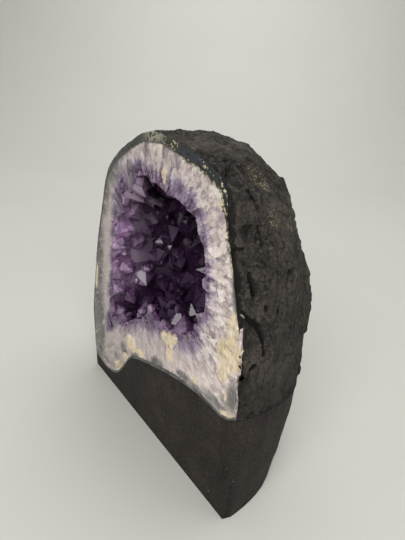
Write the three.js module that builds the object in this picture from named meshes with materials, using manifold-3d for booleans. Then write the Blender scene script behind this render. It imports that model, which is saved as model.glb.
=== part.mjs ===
// A cut amethyst geode of the standing kind called a cathedral: a lump of rock sawn flat in front,
// so that its hollow opens as an arch. A dark rock rind holds a wall of pale quartz, the wall is
// lined with one crust of amethyst crystals, and a cast cement base levels the foot.
// Millimetres, +Z up. The cut face looks along -Y. The origin is on the base's flat underside,
// below the middle of the arch.
import * as THREE from "three";
import { mergeVertices } from "three/addons/utils/BufferGeometryUtils.js";
import Module from "manifold-3d";

const wasm = await Module();
wasm.setup();

// Driving dimensions
const HALF_WIDTH = 104; // of the cut face, near the foot, where it is widest
const HEIGHT = 235; // of the cut face
const DEPTH = 146; // from the cut face to the back
const FACE_Y = -65; // the plane of the saw cut
const RIND_SIDE = 2; // the rind's thickness where the cut shows it beside the arch
const RIND_TOP = 6; // and over the arch
const RIND_BACK = 11; // and behind the hollow
const RIND_GROWS = 7; // how much thicker it gets on the sides and top behind the cut
const BED_RIND = 3; // and under the quartz, on the cement
const HOLLOW_DEPTH = 88; // from the cut face to the quartz behind the crystals
const CRUST = 7; // from the quartz to the crystals' visible edge, round the mouth
const LINING = 3.2; // of crystal roots that are grown together, under the points
const GAP = 0.3; // between touching pieces
const OVERRUN = 24; // how far a cutting solid runs past what it cuts
const MERGED = 1e-4; // corners closer than this are one

// The arch of the cut face, from the right foot over the top to the left foot
const ARCH = [
  [105.5, 0], [105, 45], [103, 82], [98.5, 118], [88.5, 160], [76, 195], [70.5, 213], [58, 223.5],
  [30, 229.5], [2, HEIGHT], [-22, 232], [-53, 217], [-72, 202], [-80, 184], [-94, 131], [-101.5, 86],
  [-103, 50], [-99, 0],
];
// The rounder arch that it turns into behind the cut face, before it is scaled
const ARCH_BEHIND = [
  [106, 0], [106, 50], [103, 88], [97, 122], [90, 156], [78, 185], [62, 206], [47, 220], [32, 230.5],
  [5, HEIGHT], [-24, 232], [-52, 218], [-70, 202], [-79, 184], [-91, 140], [-98, 86], [-100, 50], [-98, 0],
];
// Shares of the depth between which it turns round, and between which the rind grows
const TURNS_ROUND = [0.05, 0.42];
const RIND_GROWN = [0, 0.14];
// How the arch's width and height swell behind the face and close in towards the back: the curve
// (share of the depth) ^ power + (share of the size) ^ roundness = 1
const WIDTH_BEHIND = { swell: 0.205, power: 1.38, roundness: 1.9 };
const HEIGHT_BEHIND = { swell: 0.026, power: 3.3, roundness: 1.2 };
// How far the foot is drawn in towards the back, as a share, up to a height
const FOOT_DRAWN_IN = 0.2;
const FOOT_DRAWN_TO = 172;
const FOOT_POWER = { depth: 0.7, height: 1.5 };
// How finely the egg shapes are made: steps along the arch, and rings at shares of the depth
const OUTER_STEPS = 48;
const OUTER_SHARES = [
  -0.12, 0, 0.04, 0.08, 0.13, 0.18, 0.24, 0.31, 0.39, 0.48, 0.57, 0.66, 0.75, 0.83, 0.9, 0.95, 0.985,
];
const INNER_STEPS = 26;
const INNER_SHARES = [-0.12, 0, 0.06, 0.14, 0.3, 0.46, 0.62, 0.76, 0.88, 0.96];

// Where the rock meets the cement on the face, from left to right: the bed that the geode sits in
const BED = [
  [-140, 16], [-98, 12], [-76, 8], [-55, 15], [-41, 30], [-27, 49], [0, 60],
  [32, 70], [62, 76], [90, 76], [104, 84], [140, 92],
];
const BED_STEPS = 26;
// The mouth that the crystals leave open, anticlockwise from its lower left corner
const MOUTH = [
  [-68, 60], [-40, 77], [-6, 98], [30, 106], [57, 122], [58, 150], [53, 174],
  [44, 192], [24, 201], [-8, 205], [-38, 201], [-54, 185], [-60, 160], [-62, 125], [-66, 90],
];
const MOUTH_CENTRE = [-4, 146];
// How the hollow closes in from the mouth to the back, by the same curve, and how far it sinks there
const HOLLOW_BEHIND = { swell: 0.05, power: 2.4, roundness: 1.82 };
const HOLLOW_SINKS = 6;
const HOLLOW_STEPS = 24;
const HOLLOW_SHARES = [0, 0.22, 0.45, 0.66, 0.83, 0.95];

// The rock's uneven surface, and the cement's, as noise of a size and a height
const ROCK_NOISE = [{ size: 34, height: 3.2 }, { size: 17, height: 1.9 }];
const CEMENT_NOISE = { size: 40, height: 0.7 };
const CEMENT_BEHIND_ROCK = 0.8; // how much lower the cement's surface lies
const ROCK_STARTS = [-4, 9]; // over the bed, where the surface turns from cement to rock
const ROUGH_BEHIND = { from: -6, to: 30, atLeast: 0.15 }; // the noise is small beside the saw cut
const CEMENT_CORNER = { reach: 7, depth: 2.4 }; // the cement's upright front edges are rounded
// Hollows and lumps of the rock, by place from the cut face, reach each way, and depth (minus is a lump)
const DENTS = [
  { at: [63, 28, 216], reach: [10, 13, 8], depth: 7 },
  { at: [50, 22, 228], reach: [18, 14, 5], depth: -3.5 },
  { at: [70, 42, 204], reach: [7, 8, 12], depth: 4 },
  { at: [60, 58, 214], reach: [16, 9, 10], depth: -4 },
  { at: [64, 70, 196], reach: [12, 9, 9], depth: 3.5 },
  { at: [82, 24, 184], reach: [10, 11, 12], depth: 4.5 },
  { at: [86, 48, 176], reach: [12, 14, 16], depth: -3.5 },
  { at: [90, 10, 158], reach: [8, 6, 16], depth: 3.5 },
  { at: [94, 34, 150], reach: [12, 12, 14], depth: 3 },
  { at: [99, 58, 146], reach: [16, 18, 20], depth: 4 },
  { at: [99, 18, 122], reach: [12, 12, 12], depth: -3.5 },
  { at: [101, 14, 96], reach: [10, 7, 9], depth: 4 },
  { at: [104, 32, 92], reach: [12, 12, 8], depth: 4 },
  { at: [-50, 36, 226], reach: [18, 20, 14], depth: 5 },
  { at: [-86, 30, 172], reach: [16, 18, 22], depth: -4.5 },
  { at: [-98, 52, 112], reach: [18, 18, 20], depth: 5.5 },
  { at: [-104, 20, 62], reach: [14, 16, 18], depth: -4 },
  { at: [-60, 100, 128], reach: [22, 22, 22], depth: -5 },
  { at: [-22, 96, 186], reach: [20, 18, 14], depth: 6 },
  { at: [24, 112, 150], reach: [20, 18, 20], depth: -5 },
  { at: [58, 104, 96], reach: [18, 20, 20], depth: 6 },
  { at: [-20, 132, 92], reach: [22, 14, 16], depth: 5 },
];

// The crystals
const CRYSTAL_COUNT = 100;
const CRYSTAL_SEED = 11;
const GOLDEN_ANGLE = Math.PI * (3 - Math.sqrt(5));
const CRYSTAL_RADIUS = [8, 13.5];
const CRYSTAL_LEAN = 0.24; // most lean away from the wall's normal, as a tangent
const TIP_SHARE = 1.1; // height of the pointed end over its radius
const TIP_ASIDE = 0.42; // how far the tip may stand off centre, over the radius
const ROOT_SHARE = 0.5; // height of the shoulder over the root, over the radius
const ROOT_CLEAR = 1; // of the root over the crust's back
const SHAFTED = 0.22; // share of the crystals with upright sides
const SHAFT = [2, 6]; // their height
const SHAFT_TAPER = 0.94; // their width at the top over that at the foot
const SMALLER_OFTEN = 1.4; // power that makes small crystals more common than large ones
const CRYSTAL_SHARES = [-0.03, 0.97]; // shares of the hollow's depth that they are spread over
const RAYS = 360; // directions around the hollow that a crystal may stand in
const BESIDE = { rays: 4, share: 0.02 }; // a near place, from which the wall's slope is taken

const lerp = (a, b, t) => a + (b - a) * t;
const smooth = (low, high, v) => THREE.MathUtils.smoothstep(v, low, high);

// Repeatable random numbers from 0 to 1
function randomFrom(seed) {
  let state = seed;
  return () => {
    state = (Math.imul(state, 1664525) + 1013904223) >>> 0;
    return state / 2 ** 32;
  };
}

// A random value from -1 to 1 for each corner of a lattice
function latticeValue(i, j, k) {
  const s = Math.sin(i * 127.1 + j * 311.7 + k * 74.7) * 43758.5453;
  return 2 * (s - Math.floor(s)) - 1;
}

// Smooth noise from -1 to 1 with bumps about one cell across
function noise(point, cell) {
  const at = point.toArray().map((v) => v / cell);
  const corner = at.map(Math.floor);
  const share = at.map((v, n) => smooth(0, 1, v - corner[n]));
  let sum = 0;
  for (let n = 0; n < 8; n++) {
    const bit = [n & 1, (n >> 1) & 1, (n >> 2) & 1];
    const weight = bit.reduce((w, b, a) => w * (b ? share[a] : 1 - share[a]), 1);
    sum += weight * latticeValue(corner[0] + bit[0], corner[1] + bit[1], corner[2] + bit[2]);
  }
  return sum;
}

// A manifold-3d solid from a closed three.js geometry
function solidOf(geometry) {
  const bare = geometry.clone();
  bare.deleteAttribute("normal");
  bare.deleteAttribute("uv");
  const merged = mergeVertices(bare, MERGED);
  return new wasm.Manifold(
    new wasm.Mesh({
      numProp: 3,
      vertProperties: new Float32Array(merged.attributes.position.array),
      triVerts: new Uint32Array(merged.index.array),
    }),
  );
}

// A three.js geometry with flat faces from a manifold-3d solid
function geometryOf(solid) {
  const mesh = solid.getMesh();
  const geometry = new THREE.BufferGeometry();
  geometry.setAttribute("position", new THREE.BufferAttribute(mesh.vertProperties, 3));
  geometry.setIndex(new THREE.BufferAttribute(mesh.triVerts, 1));
  const flat = geometry.toNonIndexed();
  flat.computeVertexNormals();
  return flat;
}

// The closed surface through rings of points, from front to back, with a fan on each end. Seen from
// the front, each ring runs anticlockwise.
function ringsGeometry(rings, frontPole, backPole) {
  const count = rings[0].length;
  const points = [frontPole, ...rings.flat(), backPole];
  const last = points.length - 1;
  const index = [];
  for (let n = 0; n < count; n++) {
    const next = (n + 1) % count;
    index.push(0, 1 + n, 1 + next);
    for (let r = 0; r + 1 < rings.length; r++) {
      const here = 1 + r * count;
      const there = here + count;
      index.push(here + n, there + n, there + next);
      index.push(here + n, there + next, here + next);
    }
    const end = 1 + (rings.length - 1) * count;
    index.push(last, end + next, end + n);
  }
  const geometry = new THREE.BufferGeometry().setFromPoints(points);
  geometry.setIndex(index);
  return geometry;
}

// An arch as evenly spaced points from foot to foot
function archPoints(corners, steps) {
  return new THREE.SplineCurve(corners.map(([x, z]) => new THREE.Vector2(x, z))).getSpacedPoints(steps);
}

// A size at a share of the depth, over that on the face
function sizeBehind({ swell, power, roundness }, share) {
  const t = THREE.MathUtils.clamp(share, 0, 1);
  return (1 + swell * Math.sin(Math.PI * t)) * (1 - t ** power) ** (1 / roundness);
}

// The egg shape behind an arch, as a geometry that runs on past the cut face and below the foot.
// Behind the face it may be drawn in further than on it.
function eggGeometry(halfWidth, height, depth, drawnInBehind, archSteps, shares) {
  const front = archPoints(ARCH, archSteps);
  const behind = archPoints(ARCH_BEHIND, archSteps);
  const sectionAt = (share) => {
    const turned = smooth(...TURNS_ROUND, share);
    const drawnIn = drawnInBehind * smooth(...RIND_GROWN, share);
    const wide = sizeBehind(WIDTH_BEHIND, share) * (halfWidth - drawnIn) / HALF_WIDTH;
    const high = sizeBehind(HEIGHT_BEHIND, share) * (height - drawnIn) / HEIGHT;
    const points = front.map((start, n) => {
      const p = start.clone().lerp(behind[n], turned);
      const low = Math.max(0, 1 - (p.y * high) / FOOT_DRAWN_TO) ** FOOT_POWER.height;
      const drawn = 1 - FOOT_DRAWN_IN * Math.max(0, share) ** FOOT_POWER.depth * low;
      return new THREE.Vector3(p.x * wide * drawn, FACE_Y + depth * share * drawn, p.y * high);
    });
    const foot = [points.at(-1), points[0]].map((p) => new THREE.Vector3(p.x, p.y, -OVERRUN));
    return [...points, ...foot];
  };
  const rings = shares.map(sectionAt);
  const middle = (ring, y) => new THREE.Vector3(0, y, ring[0].z + 1);
  return ringsGeometry(
    rings,
    middle(rings[0], rings[0][0].y),
    new THREE.Vector3(0, rings.at(-1)[0].y + 0.5, -OVERRUN / 2),
  );
}

// Height of the bed under a place across the face
const bedCurve = new THREE.SplineCurve(BED.map(([x, z]) => new THREE.Vector2(x, z)));
const bedPoints = bedCurve.getPoints(BED_STEPS);
function bedHeight(x) {
  const after = bedPoints.findIndex((p) => p.x >= x);
  const [a, b] = [bedPoints[Math.max(0, after - 1)], bedPoints[Math.max(1, after)]];
  return lerp(a.y, b.y, THREE.MathUtils.clamp((x - a.x) / (b.x - a.x), 0, 1));
}

// The block below the bed, moved up or down, with which the egg is parted into rock and cement
function underBed(rise) {
  const outline = new THREE.Shape(bedPoints.map((p) => new THREE.Vector2(p.x, p.y + rise)));
  outline.lineTo(bedPoints.at(-1).x, -2 * OVERRUN);
  outline.lineTo(bedPoints[0].x, -2 * OVERRUN);
  outline.closePath();
  const block = new THREE.ExtrudeGeometry(outline, {
    depth: DEPTH + 3 * OVERRUN,
    bevelEnabled: false,
  });
  block.rotateX(Math.PI / 2);
  block.translate(0, FACE_Y + DEPTH + 1.5 * OVERRUN, 0);
  return solidOf(block);
}

// A box that keeps what is behind the cut face and above the ground
function cutRoom() {
  const wide = 4 * HALF_WIDTH;
  const room = new THREE.BoxGeometry(wide, 2 * DEPTH, 2 * HEIGHT);
  room.translate(0, FACE_Y + DEPTH, HEIGHT);
  return solidOf(room);
}

// Moves a surface along its normals: noise, lumps and dents on the rock, and a plain hand-smoothed
// surface on the cement
function roughen(geometry) {
  geometry.computeVertexNormals();
  const place = geometry.attributes.position;
  const normal = geometry.attributes.normal;
  const p = new THREE.Vector3();
  const n = new THREE.Vector3();
  for (let v = 0; v < place.count; v++) {
    p.fromBufferAttribute(place, v);
    n.fromBufferAttribute(normal, v);
    if (p.z < 0) continue;
    const back = p.y - FACE_Y;
    const rock = smooth(...ROCK_STARTS, p.z - bedHeight(p.x));
    const uneven = ROCK_NOISE.reduce((sum, { size, height }) => sum + height * noise(p, size), 0);
    const trowelled = CEMENT_NOISE.height * noise(p, CEMENT_NOISE.size) - CEMENT_BEHIND_ROCK;
    const { from, to, atLeast } = ROUGH_BEHIND;
    let out = lerp(trowelled, uneven, rock) * lerp(atLeast, 1, smooth(from, to, back));
    for (const { at, reach, depth } of DENTS) {
      const away = ((p.x - at[0]) / reach[0]) ** 2 + ((back - at[1]) / reach[1]) ** 2
        + ((p.z - at[2]) / reach[2]) ** 2;
      out -= rock * depth * Math.exp(-away);
    }
    const corner = Math.max(0, 1 - Math.max(0, back) / CEMENT_CORNER.reach) ** 2;
    out -= (1 - rock) * CEMENT_CORNER.depth * corner;
    place.setXYZ(v, p.x + n.x * out, p.y + Math.max(0, n.y) * out, p.z + n.z * out);
  }
  return geometry;
}

// The hollow's outline on the face, as a closed curve, let out by a distance
const mouthCurve = new THREE.CatmullRomCurve3(
  MOUTH.map(([x, z]) => new THREE.Vector3(x, 0, z)), true, "centripetal",
);
function mouthRing(steps, letOut) {
  return mouthCurve.getPoints(steps).slice(0, steps).map((p) => {
    const ray = new THREE.Vector2(p.x - MOUTH_CENTRE[0], p.z - MOUTH_CENTRE[1]);
    return ray.setLength(ray.length() + letOut);
  });
}

// A point of the hollow's wall, from a ray of the mouth's ring and a share of the depth
function hollowPoint(ray, share, depth) {
  const size = sizeBehind(HOLLOW_BEHIND, share);
  return new THREE.Vector3(
    MOUTH_CENTRE[0] + ray.x * size,
    FACE_Y + depth * share,
    MOUTH_CENTRE[1] + ray.y * size - HOLLOW_SINKS * Math.max(0, share) ** 2,
  );
}

// The solid that fills the hollow, drawn in by a distance all round, and run on past the face
function hollowSolid(drawnIn) {
  const depth = HOLLOW_DEPTH - drawnIn;
  const ring = mouthRing(HOLLOW_STEPS, CRUST - drawnIn);
  const shares = [-OVERRUN / depth, ...HOLLOW_SHARES];
  const rings = shares.map((share) => ring.map((ray) => hollowPoint(ray, share, depth)));
  return solidOf(ringsGeometry(
    rings,
    new THREE.Vector3(MOUTH_CENTRE[0], FACE_Y - OVERRUN, MOUTH_CENTRE[1]),
    new THREE.Vector3(MOUTH_CENTRE[0], FACE_Y + depth, MOUTH_CENTRE[1] - HOLLOW_SINKS),
  ));
}

// One six-sided crystal along +Z, its root a point at the origin and its tip off centre. With a
// shaft it has upright sides under the tip's faces.
function crystalGeometry(radius, shaft, random) {
  const shoulder = radius * ROOT_SHARE;
  const top = shoulder + shaft + radius * TIP_SHARE;
  const sides = [[radius, shoulder]];
  if (shaft > 0) sides.push([radius * SHAFT_TAPER, shoulder + shaft]);
  const profile = [[0, 0], ...sides, [0, top]];
  const crystal = new THREE.LatheGeometry(profile.map(([r, h]) => new THREE.Vector2(r, h)), 6);
  crystal.rotateX(Math.PI / 2);
  const place = crystal.attributes.position;
  const aside = [0, 1].map(() => TIP_ASIDE * radius * (2 * random() - 1));
  for (let v = 0; v < place.count; v++) {
    if (place.getZ(v) < top - 0.1) continue;
    place.setX(v, place.getX(v) + aside[0]);
    place.setY(v, place.getY(v) + aside[1]);
  }
  return crystal;
}

// The crystals, spread over the hollow's wall by the golden angle, points inwards
function crystalSolids() {
  const random = randomFrom(CRYSTAL_SEED);
  const rays = mouthRing(RAYS, CRUST - GAP);
  const depth = HOLLOW_DEPTH - GAP;
  const solids = [];
  for (let n = 0; n < CRYSTAL_COUNT; n++) {
    const share = lerp(...CRYSTAL_SHARES, (n + 0.5) / CRYSTAL_COUNT);
    const around = Math.floor((n * GOLDEN_ANGLE / (2 * Math.PI) % 1) * rays.length);
    const root = hollowPoint(rays[around], share, depth);
    const beside = hollowPoint(rays[(around + BESIDE.rays) % rays.length], share, depth);
    const behind = hollowPoint(rays[around], share + BESIDE.share, depth);
    const inward = beside.sub(root).cross(behind.sub(root)).normalize();
    const towards = new THREE.Vector3(MOUTH_CENTRE[0], FACE_Y, MOUTH_CENTRE[1]).sub(root);
    if (inward.dot(towards) < 0) inward.negate();
    const lean = () => CRYSTAL_LEAN * (2 * random() - 1);
    inward.add(new THREE.Vector3(lean(), lean(), lean())).normalize();
    const radius = lerp(...CRYSTAL_RADIUS, random() ** SMALLER_OFTEN);
    const shaft = random() < SHAFTED ? lerp(...SHAFT, random()) : 0;
    const crystal = crystalGeometry(radius, shaft, random);
    crystal.rotateZ(random() * Math.PI / 3);
    crystal.applyQuaternion(new THREE.Quaternion().setFromUnitVectors(new THREE.Vector3(0, 0, 1), inward));
    crystal.translate(...root.addScaledVector(inward, ROOT_CLEAR).toArray());
    solids.push(solidOf(crystal));
  }
  return solids;
}

function buildSolids() {
  const outer = solidOf(roughen(eggGeometry(HALF_WIDTH, HEIGHT, DEPTH, 0, OUTER_STEPS, OUTER_SHARES)));
  const inner = (drawnIn) => solidOf(eggGeometry(
    HALF_WIDTH - RIND_SIDE - drawnIn, HEIGHT - RIND_TOP - drawnIn, DEPTH - RIND_BACK - drawnIn,
    RIND_GROWS, INNER_STEPS, INNER_SHARES,
  )).subtract(underBed(BED_RIND + drawnIn));

  const room = cutRoom();
  const egg = outer.intersect(room);
  const base = egg.intersect(underBed(-GAP));
  const rind = egg.subtract(underBed(0)).subtract(inner(0));
  const wall = inner(GAP).intersect(room).subtract(hollowSolid(0));
  const lining = hollowSolid(GAP).subtract(hollowSolid(GAP + LINING));
  const grown = crystalSolids().reduce((sum, crystal) => sum.add(crystal), lining);
  const crust = grown.intersect(hollowSolid(GAP)).intersect(room);
  return { base, rind, wall, crust };
}

// One named piece with its colour and finish
function piece(name, solid, color, roughness) {
  const material = new THREE.MeshStandardMaterial({ color, roughness, metalness: 0 });
  const mesh = new THREE.Mesh(geometryOf(solid), material);
  mesh.name = name;
  return mesh;
}

// The one body of a solid that holds most of it, without loose crumbs that a cut may leave
function largestBody(solid) {
  return solid.decompose().sort((a, b) => b.volume() - a.volume())[0];
}

const { base, rind, wall, crust } = buildSolids();
const geode = new THREE.Group();
geode.add(
  piece("cement_base", largestBody(base), 0x2b2725, 0.9),
  piece("rock_rind", largestBody(rind), 0x34302d, 0.95),
  piece("quartz_wall", largestBody(wall), 0xc9bfd6, 0.45),
  piece("amethyst_crust", largestBody(crust), 0x4b2a78, 0.15),
);

export default geode;
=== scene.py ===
# The finish of a cut amethyst geode: sandy black rock, cast cement, a polished quartz face and a
# hollow full of amethyst. Metres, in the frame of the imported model; the saw cut looks along -Y.
import math
import random

import bpy
import numpy as np
from mathutils import Matrix, Quaternion, Vector


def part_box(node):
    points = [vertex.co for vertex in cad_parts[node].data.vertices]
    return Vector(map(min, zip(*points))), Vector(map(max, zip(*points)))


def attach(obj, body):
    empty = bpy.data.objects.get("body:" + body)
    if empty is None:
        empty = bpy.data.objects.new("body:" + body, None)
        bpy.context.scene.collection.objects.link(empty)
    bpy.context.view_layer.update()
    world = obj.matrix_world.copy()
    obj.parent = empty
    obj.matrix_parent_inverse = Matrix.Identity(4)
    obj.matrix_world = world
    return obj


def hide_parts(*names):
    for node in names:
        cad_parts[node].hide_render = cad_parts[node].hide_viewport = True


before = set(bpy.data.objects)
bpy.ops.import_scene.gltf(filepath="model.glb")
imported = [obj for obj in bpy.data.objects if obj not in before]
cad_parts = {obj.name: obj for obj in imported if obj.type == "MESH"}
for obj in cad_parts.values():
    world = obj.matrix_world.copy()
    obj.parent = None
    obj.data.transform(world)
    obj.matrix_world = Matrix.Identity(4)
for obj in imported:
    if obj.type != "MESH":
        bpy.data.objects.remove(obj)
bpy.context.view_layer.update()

MM = 0.001
FACE_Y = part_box("quartz_wall")[0].y  # the plane of the saw cut
MIDDLE = Vector((0, 0, 0.11))  # a point well inside the rock
HOLLOW = Vector((-0.004, FACE_Y + 0.03, 0.146))  # a point in the open hollow

# Fineness of the meshes, as the longest edge
ROCK_EDGE = 2.0 * MM
CRACK_EDGE = 0.8 * MM
CEMENT_EDGE = 2.2 * MM
NARROW = 1.7  # the half width in millimetres under which a crack needs the shorter edge
FACE_EDGE = 1.1 * MM
TINY = 0.005 * MM  # corners closer than this are one

EDGE_STEP = 0.9 * MM  # how far the rock's edge lies behind the quartz that reaches over it
SEAM_STEP = 0.15 * MM  # the same where the quartz only overlaps the rock's ragged inner line


# Choosing and shaping

def only(piece):
    """Selects one piece alone and makes it the active one"""
    bpy.ops.object.select_all(action="DESELECT")
    piece.select_set(True)
    bpy.context.view_layer.objects.active = piece


def copy_of(node, name):
    """A copy of a CAD node with its corners merged, for shaping"""
    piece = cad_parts[node].copy()
    piece.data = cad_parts[node].data.copy()
    bpy.context.scene.collection.objects.link(piece)
    for key in list(piece.keys()):
        del piece[key]
    piece.parent = None
    piece.name = name
    piece.data.name = name
    piece.data.materials.clear()
    only(piece)
    bpy.ops.object.mode_set(mode="EDIT")
    bpy.ops.mesh.select_all(action="SELECT")
    bpy.ops.mesh.remove_doubles(threshold=0.01 * MM)
    bpy.ops.object.mode_set(mode="OBJECT")
    return piece


def points_of(piece):
    """The places of a piece's corners, as rows"""
    flat = np.empty(3 * len(piece.data.vertices), np.float32)
    piece.data.vertices.foreach_get("co", flat)
    return flat.reshape(-1, 3).astype(float)


def faces_of(piece):
    """The middles and the normals of a piece's faces, as rows"""
    count = len(piece.data.polygons)
    middles = np.empty(3 * count, np.float32)
    normals = np.empty(3 * count, np.float32)
    piece.data.polygons.foreach_get("center", middles)
    piece.data.polygons.foreach_get("normal", normals)
    return middles.reshape(-1, 3).astype(float), normals.reshape(-1, 3).astype(float)


def corners_of_faces(piece):
    """The corner numbers of a piece whose faces are all triangles, as rows"""
    corners = np.empty(len(piece.data.loops), np.int32)
    piece.data.loops.foreach_get("vertex_index", corners)
    return corners.reshape(-1, 3)


def edges_of(piece):
    """The two corner numbers of each edge, as rows"""
    ends = np.empty(2 * len(piece.data.edges), np.int32)
    piece.data.edges.foreach_get("vertices", ends)
    return ends.reshape(-1, 2)


def choose(piece, kind, chosen):
    """Selects exactly these corners, edges or faces for the next edit"""
    only(piece)
    mesh = piece.data
    for part in (mesh.vertices, mesh.edges, mesh.polygons):
        part.foreach_set("select", np.zeros(len(part), bool))
    rows = {"VERT": mesh.vertices, "EDGE": mesh.edges, "FACE": mesh.polygons}[kind]
    rows.foreach_set("select", np.asarray(chosen, bool))
    bpy.context.tool_settings.mesh_select_mode = (kind == "VERT", kind == "EDGE", kind == "FACE")


def clean(piece):
    """Merges corners that lie on each other, takes out faces with no area, and leaves triangles"""
    only(piece)
    bpy.ops.object.mode_set(mode="EDIT")
    bpy.ops.mesh.select_all(action="SELECT")
    bpy.ops.mesh.remove_doubles(threshold=TINY)
    bpy.ops.mesh.dissolve_degenerate(threshold=TINY)
    bpy.ops.mesh.quads_convert_to_tris()
    bpy.ops.object.mode_set(mode="OBJECT")


def make_fine(piece, is_skin, longest_at, rounds=9):
    """Halves the edges of the skin until none is longer than it may be, and evens its triangles"""
    for _ in range(rounds):
        skin = is_skin(*faces_of(piece))
        corners = corners_of_faces(piece)
        places = points_of(piece)
        on_skin = np.zeros(len(places), bool)
        on_skin[corners[skin].ravel()] = True
        ends = edges_of(piece)
        lengths = np.linalg.norm(places[ends[:, 0]] - places[ends[:, 1]], axis=1)
        middles = places[ends].mean(axis=1)
        long = on_skin[ends].all(axis=1) & (lengths > longest_at(middles))
        if not long.any():
            break
        choose(piece, "EDGE", long)
        bpy.ops.object.mode_set(mode="EDIT")
        bpy.ops.mesh.subdivide(number_cuts=1)
        bpy.ops.mesh.select_all(action="SELECT")
        bpy.ops.mesh.quads_convert_to_tris()
        bpy.ops.object.mode_set(mode="OBJECT")
        choose(piece, "FACE", is_skin(*faces_of(piece)))
        bpy.ops.object.mode_set(mode="EDIT")
        bpy.ops.mesh.beautify_fill(angle_limit=math.radians(25))
        bpy.ops.object.mode_set(mode="OBJECT")
    clean(piece)


def corners_on(piece, faces):
    """The corners that belong to these faces, as a mask"""
    found = np.zeros(len(piece.data.vertices), bool)
    found[corners_of_faces(piece)[faces].ravel()] = True
    return found


def weigh(piece, name, weights):
    """A named group that holds each corner by its weight from 0 to 1"""
    group = piece.vertex_groups.new(name=name)
    steps = np.round(np.clip(weights, 0, 1) * 50).astype(int)
    for step in np.unique(steps):
        if step:
            group.add(np.nonzero(steps == step)[0].tolist(), step / 50, "REPLACE")
    return group.name


def push(piece, group, strength, texture=None, middle=0.5, direction="NORMAL"):
    """Moves the group's corners along their normals or an axis, evenly or by a texture"""
    only(piece)
    modifier = piece.modifiers.new(group, "DISPLACE")
    modifier.vertex_group = group
    modifier.direction = direction
    modifier.strength = strength
    modifier.mid_level = middle if texture else 0
    if texture:
        modifier.texture = texture
        modifier.texture_coords = "LOCAL"
    bpy.ops.object.modifier_apply(modifier=modifier.name)


def ridges(name, size):
    """A noise of sharp ridges and soft valleys for pushing rock, of a size"""
    texture = bpy.data.textures.new(name, "MUSGRAVE")
    texture.musgrave_type = "RIDGED_MULTIFRACTAL"
    texture.noise_scale = size
    texture.octaves = 4
    texture.noise_intensity = 0.5
    return texture


def clouds(name, size, depth=2, basis="BLENDER_ORIGINAL"):
    """A soft noise for pushing surfaces, with lumps of a size"""
    texture = bpy.data.textures.new(name, "CLOUDS")
    texture.noise_scale = size
    texture.noise_depth = depth
    texture.noise_basis = basis
    return texture


def near_line(places, line):
    """How far each place is from a line through points"""
    best = np.full(len(places), np.inf)
    for start, end in zip(line, line[1:]):
        a = np.array(start)
        along = np.array(end) - a
        share = np.clip((places - a) @ along / max(along @ along, 1e-12), 0, 1)
        best = np.minimum(best, np.linalg.norm(places - a - share[:, None] * along, axis=1))
    return best


def laid_on(piece, line):
    """A line through points, laid onto a piece's surface in short steps"""
    points = [Vector(point) for point in line]
    steps = []
    for start, end in zip(points, points[1:]):
        count = max(1, round((end - start).length / (2 * MM)))
        steps += [start.lerp(end, step / count) for step in range(count)]
    bpy.context.view_layer.update()
    return [tuple(piece.closest_point_on_mesh(point)[1]) for point in steps + points[-1:]]


def ease(low, high, values):
    """0 below low, 1 above high, and smooth between"""
    share = np.clip((values - low) / (high - low), 0, 1)
    return share * share * (3 - 2 * share)


def flatten(piece, chosen, scale, at):
    """Presses corners flat onto a plane through a point"""
    choose(piece, "VERT", chosen)
    bpy.ops.object.mode_set(mode="EDIT")
    bpy.ops.transform.resize(value=scale, center_override=at)
    bpy.ops.object.mode_set(mode="OBJECT")


def keep_within(piece, low, high):
    """Holds a piece's corners inside a box"""
    places = np.clip(points_of(piece), np.array(low), np.array(high))
    piece.data.vertices.foreach_set("co", places.ravel().astype(np.float32))
    piece.data.update()


def finish_of(piece, *materials):
    """Gives a piece its materials, the first of them all over"""
    piece.data.materials.clear()
    for material in materials:
        piece.data.materials.append(material)


def paint_faces(piece, chosen, number):
    """Gives the chosen faces the piece's material of that number"""
    numbers = np.zeros(len(piece.data.polygons), np.int32)
    piece.data.polygons.foreach_get("material_index", numbers)
    numbers[chosen] = number
    piece.data.polygons.foreach_set("material_index", numbers)
    piece.data.update()


# Places on the rock, in millimetres, with y from the saw cut

def at_rock(*points):
    """Points given in millimetres from the foot and the saw cut, in the frame"""
    return [(x * MM, FACE_Y + y * MM, z * MM) for x, y, z in points]


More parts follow.
